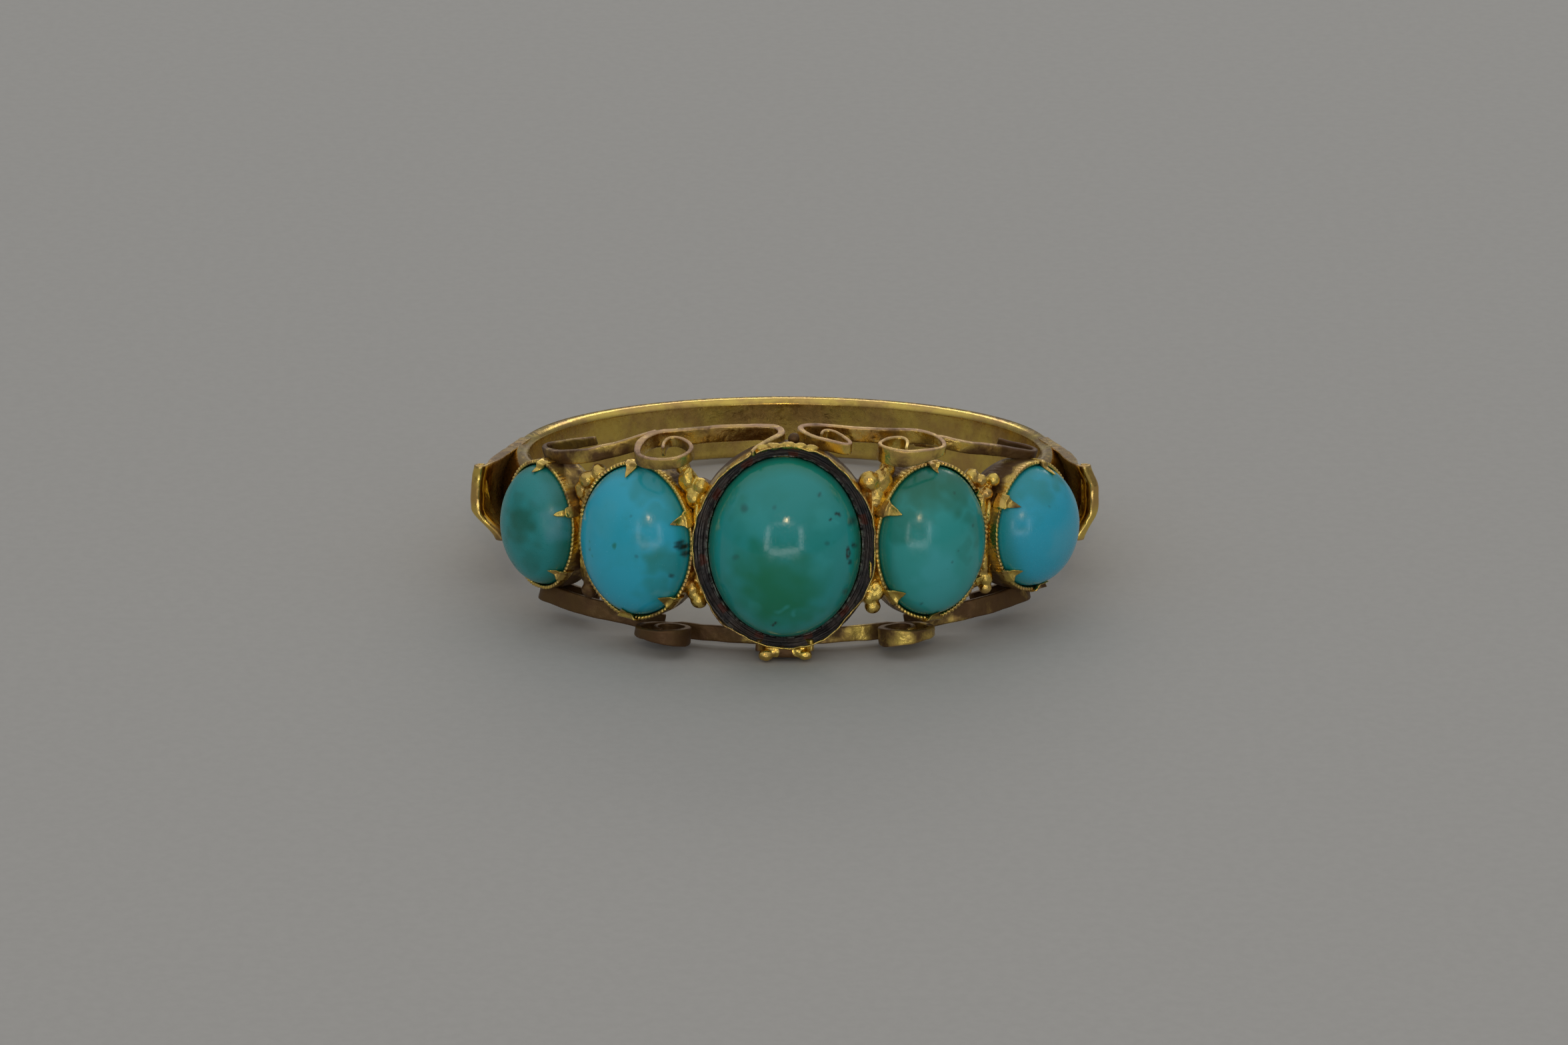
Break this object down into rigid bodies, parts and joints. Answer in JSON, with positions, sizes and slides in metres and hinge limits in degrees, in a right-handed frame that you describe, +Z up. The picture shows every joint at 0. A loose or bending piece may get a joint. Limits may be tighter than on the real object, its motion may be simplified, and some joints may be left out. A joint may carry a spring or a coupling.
{
  "type": "finger ring",
  "caption": "Antique gold half-hoop ring with oval turquoise cabochons in clawed collets between scrolled gallery rails, lying on its side",
  "frame": {"origin": "on the surface the ring lies on, below the middle of its bounding box", "axes": "+Z up from the surface, -Y towards the side with the stones, +X towards the ring's right when the stones face the viewer. The finger hole's axis leans 8 degrees from +Z towards +Y."},
  "size_m": [0.0212, 0.0216, 0.0075],
  "materials": {
    "gold": "worn yellow gold with brown tarnish in the recesses",
    "old_filling": "dark, dry and rough",
    "turquoise": "glossy polished cabochon with dark matrix specks"
  },
  "bodies": {
    "root": {"gold_mount": "gold", "center_collet_fill": "old_filling", "stone_left_outer": "turquoise", "stone_left_inner": "turquoise", "stone_center": "turquoise", "stone_right_inner": "turquoise", "stone_right_outer": "turquoise"}
  },
  "joints": []
}
